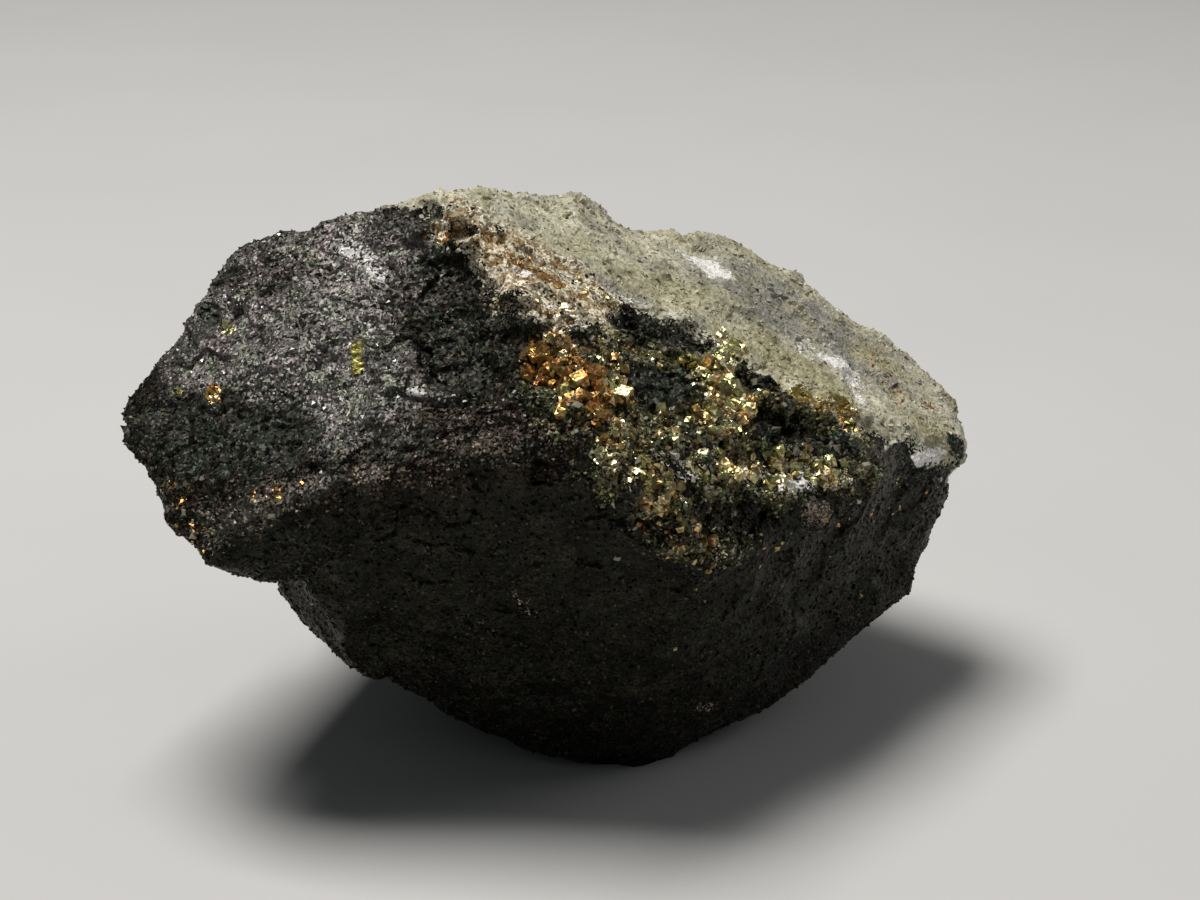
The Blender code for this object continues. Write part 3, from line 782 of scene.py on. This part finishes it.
class Nodes:
    """Short names for building a material's node tree."""

    def __init__(self, name):
        self.material = bpy.data.materials.new(name)
        self.material.use_nodes = True
        self.tree = self.material.node_tree
        self.shader = self.tree.nodes["Principled BSDF"]
        self.made = {}

    def add(self, kind, **settings):
        node = self.tree.nodes.new(kind)
        for key, value in settings.items():
            setattr(node, key, value)
        return node

    def feed(self, socket, value):
        if isinstance(value, bpy.types.NodeSocket):
            self.tree.links.new(value, socket)
        elif socket.type == "RGBA":
            socket.default_value = (*value, 1.0)
        else:
            socket.default_value = value

    def set(self, **values):
        """Feeds the shader's sockets, whose names are written with _ for a space."""
        for name, value in values.items():
            self.feed(self.shader.inputs[name.replace("_", " ")], value)

    def once(self, key, make):
        """What was made under this name before, or a new one."""
        if key not in self.made:
            self.made[key] = make()
        return self.made[key]

    def share(self, name):
        return self.once(name, lambda: self.add("ShaderNodeAttribute", attribute_name=name).outputs["Fac"])

    def place(self):
        return self.once("place", lambda: self.add("ShaderNodeTexCoord").outputs["Object"])

    def math(self, operation, first, second=0.0, clamp=False):
        node = self.add("ShaderNodeMath", operation=operation, use_clamp=clamp)
        self.feed(node.inputs[0], first)
        self.feed(node.inputs[1], second)
        return node.outputs[0]

    def texture(self, kind, size):
        node = self.add(kind)
        self.feed(node.inputs["Vector"], self.place())
        self.feed(node.inputs["Scale"], 1 / (size * MM))
        return node

    def noise(self, size):
        """Noise with lumps about this many millimetres across."""
        return self.once(("noise", size), lambda: self.texture("ShaderNodeTexNoise", size).outputs["Fac"])

    def grains(self, size):
        """The random colour of each grain of about this size."""
        return self.once(("grains", size), lambda: self.texture("ShaderNodeTexVoronoi", size).outputs["Color"])

    def where(self, name, pick):
        """1 on the grains whose random number is under the mineral's share there, and 0 elsewhere."""
        return self.math("LESS_THAN", pick, self.share(name))

    def tones(self, name, tone):
        return self.ramp(tone, TONES[name])

    def drift(self, name):
        """Soft patches over the stone."""
        size, stops = DRIFTS[name]
        return self.ramp(self.noise(size), stops)

    def split(self, colour):
        node = self.add("ShaderNodeSeparateColor")
        self.feed(node.inputs[0], colour)
        return tuple(node.outputs)

    def ramp(self, fac, stops):
        node = self.add("ShaderNodeValToRGB")
        self.feed(node.inputs[0], fac)
        ramp = node.color_ramp
        while len(ramp.elements) < len(stops):
            ramp.elements.new(0.5)
        for element, (at, colour) in zip(ramp.elements, stops):
            element.position = at
            element.color = (*colour, 1.0)
        return node.outputs["Color"]

    def mixed(self, fac, first, second, at, **settings):
        """The sockets to mix start at this number, which goes with the kind of the mix."""
        node = self.add("ShaderNodeMix", **settings)
        self.feed(node.inputs["Factor"], fac)
        self.feed(node.inputs[at], first)
        self.feed(node.inputs[at + 1], second)
        return node

    def mix(self, fac, first, second):
        return self.mixed(fac, first, second, 6, data_type="RGBA").outputs[2]

    def tint(self, colour, by):
        return self.mixed(1.0, colour, by, 6, data_type="RGBA", blend_type="MULTIPLY").outputs[2]

    def blend(self, fac, first, second):
        return self.mixed(fac, first, second, 2, data_type="FLOAT").outputs[0]

    def vector(self, operation, first, second=None):
        node = self.add("ShaderNodeVectorMath", operation=operation)
        self.feed(node.inputs[0], first)
        if second is not None:
            self.feed(node.inputs["Scale" if operation == "SCALE" else 1], second)
        return node.outputs[0]

    def scattered_normal(self, colour, strength):
        """The surface's normal, turned a little to each grain's own side."""
        turned = self.vector("SCALE", self.vector("SUBTRACT", colour, (0.5, 0.5, 0.5)), strength)
        normal = self.add("ShaderNodeNewGeometry").outputs["Normal"]
        return self.vector("NORMALIZE", self.vector("ADD", normal, turned))

    def add_sides(self, name):
        size, turn = SIDES[name]
        self.set(Normal=self.scattered_normal(self.grains(size), turn))


# Colours, as linear red, green and blue.
BRASS = (0.56, 0.51, 0.28)
PALE_BRASS = (0.83, 0.79, 0.60)
OLIVE_BRASS = (0.17, 0.17, 0.075)
ORANGE_TARNISH = (0.57, 0.29, 0.10)
BROWN_TARNISH = (0.175, 0.083, 0.026)
YELLOW_FILM = (0.32, 0.27, 0.04)
WHITE_GRAIN_AND_GLINT = (0.84, 0.83, 0.80)
DUST = (0.30, 0.27, 0.18)

# Each mineral from its darkest grains to its palest, as stops from 0 to 1.
TONES = {
    "dark": ((0.2, (0.005, 0.005, 0.0038)), (0.5, (0.015, 0.0142, 0.0106)), (0.8, (0.056, 0.052, 0.039))),
    # The silvery field: silvery grains, and painted sheen.
    "silver": ((0.2, (0.05, 0.048, 0.043)), (0.5, (0.145, 0.14, 0.128)), (0.8, (0.4, 0.395, 0.375))),
    "brown": ((0.1, (0.014, 0.009, 0.006)), (0.6, (0.048, 0.034, 0.024)), (0.95, (0.19, 0.145, 0.115))),
    "pink": ((0.1, (0.08, 0.06, 0.045)), (0.6, (0.2, 0.155, 0.12)), (0.95, (0.48, 0.4, 0.33))),
    "black": (
        (0.2, (0.005, 0.006, 0.004)),
        (0.66, (0.019, 0.022, 0.014)),
        # Painted glints: from here up, the palest black grains turn pale grey.
        (0.84, (0.043, 0.047, 0.037)),
        (0.98, (0.155, 0.162, 0.145)),
    ),
    "vein": (
        (0.0, (0.01, 0.011, 0.005)),
        (0.4, (0.042, 0.043, 0.019)),
        (0.66, (0.135, 0.128, 0.06)),
        (0.86, (0.32, 0.28, 0.18)),
        (1.0, (0.74, 0.68, 0.56)),
    ),
    "pale": ((0.15, (0.38, 0.35, 0.24)), (0.5, (0.56, 0.535, 0.4)), (0.85, (0.74, 0.71, 0.58))),
    "grey": ((0.15, (0.15, 0.149, 0.128)), (0.5, (0.21, 0.208, 0.185)), (0.85, (0.38, 0.375, 0.345))),
    "olive": ((0.15, (0.22, 0.2, 0.1)), (0.5, (0.37, 0.34, 0.2)), (0.85, (0.54, 0.51, 0.36))),
    "cream": ((0.2, (0.13, 0.09, 0.043)), (0.47, (0.43, 0.36, 0.235)), (0.72, (0.89, 0.83, 0.68))),
    "rust": ((0.1, (0.022, 0.011, 0.004)), (0.5, (0.145, 0.075, 0.025)), (0.95, (0.58, 0.4, 0.2))),
    # White minerals, and painted glints on the magnetite face.
    "white": ((0.1, (0.58, 0.56, 0.51)), (0.8, (0.86, 0.85, 0.82))),
}
# Soft patches: their size in millimetres, and stops on a noise from 0 to 1.
DRIFTS = {
    "brown_to_olive": (1.1, ((0.38, (1.0, 0.8, 0.62)), (0.5, (0.97, 0.97, 0.9)), (0.62, (0.82, 0.97, 0.74)))),
    "mauve_to_green": (1.4, ((0.36, (1.0, 0.87, 0.9)), (0.5, (0.95, 0.94, 0.92)), (0.64, (0.88, 0.95, 0.78)))),
    "dim_dark": (2.6, ((0.4, (0.55, 0.55, 0.55)), (0.6, (1.0, 1.0, 1.0)))),
    "dim_pale": (1.2, ((0.36, (0.8, 0.79, 0.76)), (0.56, (1.0, 1.0, 1.0)))),
    "stain": (0.8, ((0.38, (0.62, 0.46, 0.27)), (0.5, (1.0, 1.0, 1.0)))),
    "cloud": (2.6, ((0.5, (0, 0, 0)), (0.62, (1, 1, 1)))),
    "haze": (1.9, ((0.48, (0, 0, 0)), (0.66, (1, 1, 1)))),
    "clump": (1.3, ((0.43, (0, 0, 0)), (0.64, (1, 1, 1)))),
}
CLOUD_SHARE = 0.55
HAZE_SHARE = 0.6
CLUMP_PULL = 0.55
RUST_GRAIN = 0.35
RUST_LEVELS = (0.12, 0.66)
"""Grains are rusty where their noise is under the first, or under the second where all is rust."""

COARSE_GRAIN = 0.50
FINE_GRAIN = 0.15
MOTTLING = 0.8
SILVER_AND_SHEEN_PATCHES = {"size": 2.6, "strength": (0.4, 1.3)}
LOW_GLOSS = 0.22
"""Specular level of the dark stone, which is dusty."""
ROCK_METAL = {"dark": 0.6, "dull": 0.0, "pyrite": 0.95}
ROCK_ROUGHNESS = {"dark": (0.30, 0.55), "dull": 0.65, "pyrite": 0.35}
ROCK_SCATTER = {"dark": 0.55, "dull": 0.30}
VEIN_COARSENESS = 0.7
PYRITE_COARSENESS = 0.25

PYRITE_FILM = {"size": 0.5, "over": 0.58, "share": 0.6, "roughness": (0.26, 0.52)}
MAGNETITE_FILM = {"size": 0.4, "roughness": (0.22, 0.55), "dull": 0.60}
MAGNETITE_METAL = {"bright": 0.8, "dull": 0.1}
PALE_SPECKLE = {"size": 0.25, "share": 0.2, "roughness": (0.30, 0.65)}
# The small faces of each crystal: their size, and how far they turn from it.
SIDES = {"pyrite": (0.16, 0.42), "magnetite": (0.15, 0.12), "pale_grains": (0.16, 0.12)}


def pyrite_tones(n, tone, brass_stops, tarnish_stops):
    brass = n.ramp(tone, list(zip(brass_stops, (OLIVE_BRASS, BRASS, PALE_BRASS))))
    tarnish = n.ramp(tone, list(zip(tarnish_stops, (BROWN_TARNISH, ORANGE_TARNISH, BRASS))))
    return n.mix(n.share("tarnish"), brass, tarnish)


def clumped(n, tone):
    """Tones of lone crystals drawn towards their clump's, so that some clumps shine and others stay dark."""
    return n.blend(CLUMP_PULL, tone, n.drift("clump"))


def vein_tones(n, tone):
    return n.tint(n.tones("vein", tone), n.drift("brown_to_olive"))


def black_tones(n, tone):
    return n.tint(n.tones("black", tone), n.drift("brown_to_olive"))


def matrix_tones(n, tone):
    """The pale matrix, with its grey and olive parts, its cream tongue and its rusty stains."""
    cloud = n.math("MULTIPLY", n.drift("cloud"), CLOUD_SHARE)
    haze = n.math("MULTIPLY", n.drift("haze"), HAZE_SHARE)
    colour = n.mix(n.math("MAXIMUM", n.share("grey"), cloud), n.tones("pale", tone), n.tones("grey", tone))
    colour = n.mix(n.math("MAXIMUM", n.share("olive"), haze), colour, n.tones("olive", tone))
    cream = n.tint(n.tones("cream", tone), n.drift("stain"))
    colour = n.mix(n.share("cream"), n.tint(colour, n.drift("dim_pale")), cream)
    is_rust = n.math("LESS_THAN", n.noise(RUST_GRAIN), n.blend(n.share("rust"), *RUST_LEVELS))
    return n.mix(is_rust, colour, n.tones("rust", tone))


def rock_material():
    """All the minerals of the broken surface: each grain is one of them, by their shares there."""
    n = Nodes("rock")
    coarse, fine = n.grains(COARSE_GRAIN), n.grains(FINE_GRAIN)
    pick, _, third = n.split(coarse)
    fine_pick, fine_tone, fine_third = n.split(fine)
    mottling = n.noise(MOTTLING)
    mixed_tone = n.math("MULTIPLY", n.math("ADD", fine_tone, mottling), 0.5)
    clump_pick = n.blend(0.5, fine_pick, mottling)
    clump_third = n.blend(0.5, fine_third, mottling)
    is_pink = n.where("pink", clump_third)
    is_matrix = n.where("matrix", clump_pick)
    is_black = n.where("black", clump_third)
    is_white = n.where("white", clump_pick)
    is_pyrite = n.where("pyrite", n.blend(PYRITE_COARSENESS, pick, fine_pick))

    # The silvery field: silvery grains, and painted sheen where the face mirrors the overhead light, stronger
    # in soft patches.
    strength = n.blend(n.noise(SILVER_AND_SHEEN_PATCHES["size"]), *SILVER_AND_SHEEN_PATCHES["strength"])
    silver_and_sheen_share = n.math("MULTIPLY", n.share("silver"), strength, clamp=True)
    dark = n.tint(n.tint(n.tones("dark", mixed_tone), n.drift("brown_to_olive")), n.drift("dim_dark"))
    colour = n.mix(silver_and_sheen_share, dark, n.tint(n.tones("silver", mixed_tone), n.drift("mauve_to_green")))
    layers = (
        (n.where("brown", fine_third), n.tones("brown", fine_tone)),
        (is_pink, n.tones("pink", fine_tone)),
        (n.where("vein", clump_third), vein_tones(n, mixed_tone)),
        (is_matrix, matrix_tones(n, mixed_tone)),
        # Black: green-black stone, and painted shade in hollows, pits and a crack and on the dark facet by the
        # ridge.
        (is_black, black_tones(n, fine_tone)),
        # White: white minerals, and painted glints and highlights on the magnetite face.
        (is_white, n.tones("white", fine_tone)),
        (n.where("yellow", clump_pick), n.mix(fine_tone, YELLOW_FILM, OLIVE_BRASS)),
        (is_pyrite, pyrite_tones(n, third, (0.1, 0.5, 0.9), (0.1, 0.5, 0.9))),
    )
    for where, mineral in layers:
        colour = n.mix(where, colour, mineral)

    dull = n.math("MAXIMUM", n.math("MAXIMUM", is_matrix, is_pink), n.math("MAXIMUM", is_white, is_black))
    metal = n.blend(dull, ROCK_METAL["dark"], ROCK_METAL["dull"])
    rough = n.blend(dull, n.blend(fine_tone, *ROCK_ROUGHNESS["dark"]), ROCK_ROUGHNESS["dull"])
    n.set(Base_Color=colour, Metallic=n.blend(is_pyrite, metal, ROCK_METAL["pyrite"]))
    n.set(Roughness=n.blend(is_pyrite, rough, ROCK_ROUGHNESS["pyrite"]), Specular_IOR_Level=LOW_GLOSS)
    sides = n.mix(n.math("MULTIPLY", n.share("vein"), VEIN_COARSENESS), fine, coarse)
    n.set(Normal=n.scattered_normal(sides, n.blend(dull, ROCK_SCATTER["dark"], ROCK_SCATTER["dull"])))
    return n.material


def pyrite_material():
    n = Nodes("pyrite")
    tone = clumped(n, n.share("tone"))
    film = n.noise(PYRITE_FILM["size"])
    filmed = n.math("MULTIPLY", n.math("GREATER_THAN", film, PYRITE_FILM["over"]), PYRITE_FILM["share"])
    colour = pyrite_tones(n, tone, (0.0, 0.35, 0.85), (0.0, 0.5, 1.0))
    colour = n.mix(filmed, n.tint(colour, n.drift("brown_to_olive")), BROWN_TARNISH)
    colour = n.mix(n.share("yellow"), colour, YELLOW_FILM)
    n.set(Base_Color=colour, Metallic=1.0, Roughness=n.blend(film, *PYRITE_FILM["roughness"]))
    n.add_sides("pyrite")
    return n.material


def magnetite_material():
    n = Nodes("magnetite")
    tone = n.share("tone")
    # Grains in the silvery field are paler: silvery grains, and painted sheen.
    colour = n.mix(n.share("silver"), n.tones("dark", tone), n.tones("silver", tone))
    colour = n.mix(n.share("brown"), colour, n.tones("brown", tone))
    # Grains in the vein and the black patches, which also paint shade, take the black tones.
    dull = n.math("MAXIMUM", n.share("vein"), n.share("black"))
    colour = n.mix(dull, colour, black_tones(n, tone))
    bright_roughness = n.blend(n.noise(MAGNETITE_FILM["size"]), *MAGNETITE_FILM["roughness"])
    n.set(Base_Color=colour, Metallic=n.blend(dull, MAGNETITE_METAL["bright"], MAGNETITE_METAL["dull"]))
    n.set(Roughness=n.blend(dull, bright_roughness, MAGNETITE_FILM["dull"]), Specular_IOR_Level=LOW_GLOSS)
    n.add_sides("magnetite")
    return n.material


def pale_material():
    n = Nodes("pale_grains")
    tone = n.share("tone")
    speckle = n.noise(PALE_SPECKLE["size"])
    in_vein = n.math("MULTIPLY", n.share("vein"), n.math("SUBTRACT", 1.0, n.share("matrix")))
    colour = n.mix(in_vein, matrix_tones(n, tone), vein_tones(n, clumped(n, tone)))
    colour = n.mix(n.share("pink"), colour, n.tones("pink", tone))
    # White grains: white minerals, and painted glints on the magnetite face.
    colour = n.mix(n.share("white"), colour, WHITE_GRAIN_AND_GLINT)
    colour = n.mix(n.share("yellow"), colour, YELLOW_FILM)
    colour = n.mix(n.math("MULTIPLY", speckle, PALE_SPECKLE["share"]), colour, DUST)
    n.set(Base_Color=colour, Roughness=n.blend(speckle, *PALE_SPECKLE["roughness"]))
    n.add_sides("pale_grains")
    return n.material


def dress(piece, material):
    """Gives a piece its material, and says what it rides on."""
    piece.data.materials.clear()
    piece.data.materials.append(material)
    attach(piece, "root")


# -------- the studio


def make_floor():
    bpy.ops.mesh.primitive_plane_add(size=FLOOR_SIZE, location=(0, 0, 0))
    floor = bpy.context.object
    floor.name = "floor"
    n = Nodes("floor")
    n.set(Base_Color=n.ramp(n.noise(FLOOR_PATCHES), [(0.3, FLOOR_COLOUR), (0.7, FLOOR_SHADE)]))
    n.set(Roughness=0.75)
    floor.data.materials.append(n.material)


def make_lights():
    for name, light in LIGHTS.items():
        lamp = bpy.data.lights.new(name, "AREA")
        lamp.shape = "SQUARE"
        lamp.size = light["size"]
        lamp.energy = light["watts"]
        lamp.color = light["colour"]
        obj = new_object(name, lamp)
        obj.location = light["at"]
        towards = Vector(AIM) * MM - obj.location
        obj.rotation_euler = towards.to_track_quat("-Z", "Y").to_euler()
    world = bpy.data.worlds.new("studio")
    world.use_nodes = True
    background = world.node_tree.nodes["Background"]
    background.inputs["Color"].default_value = WORLD_COLOUR
    background.inputs["Strength"].default_value = WORLD_STRENGTH
    bpy.context.scene.world = world


def make_camera():
    lens = bpy.data.cameras.new("camera")
    lens.lens = LENS
    lens.sensor_width = SENSOR
    lens.clip_start = 0.005
    camera = new_object("camera", lens)
    back = Vector((0, -math.cos(ELEVATION), math.sin(ELEVATION)))
    camera.location = (Vector(AIM) + back * DISTANCE) * MM
    camera.rotation_euler = (-back).to_track_quat("-Z", "Y").to_euler()
    bpy.context.scene.camera = camera


def make_pieces(node):
    rng = np.random.default_rng(SEED)
    stone = make_stone(node)
    dress(stone, rock_material())
    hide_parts("rock")

    faces = read_faces(stone)
    growths = {
        "pyrite_crystals": ((CUBE, PYRITOHEDRON), CUBE, 4, pyrite_growth, pyrite_material),
        "magnetite_grains": ((OCTAHEDRON,), OCTAHEDRON, 3, magnetite_growth, magnetite_material),
        "pale_grains": ((RHOMB,), OCTAHEDRON, 3, pale_growth, pale_material),
    }
    for name, (whole, broken, splinters, growth, material) in growths.items():
        forms = [*whole, *(splinter(broken, rng) for _ in range(splinters))]
        dress(grow(name, faces, [solid_round(form) for form in forms], rng, growth), material())


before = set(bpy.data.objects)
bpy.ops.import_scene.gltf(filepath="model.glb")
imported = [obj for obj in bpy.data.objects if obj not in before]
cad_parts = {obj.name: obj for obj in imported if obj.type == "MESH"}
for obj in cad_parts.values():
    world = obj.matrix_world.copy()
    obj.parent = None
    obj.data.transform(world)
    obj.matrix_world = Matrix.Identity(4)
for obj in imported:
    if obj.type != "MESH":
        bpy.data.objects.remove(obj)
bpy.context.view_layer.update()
bpy.context.scene.view_settings.view_transform = "Standard"

make_pieces(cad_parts["rock"])
make_floor()
make_lights()
make_camera()
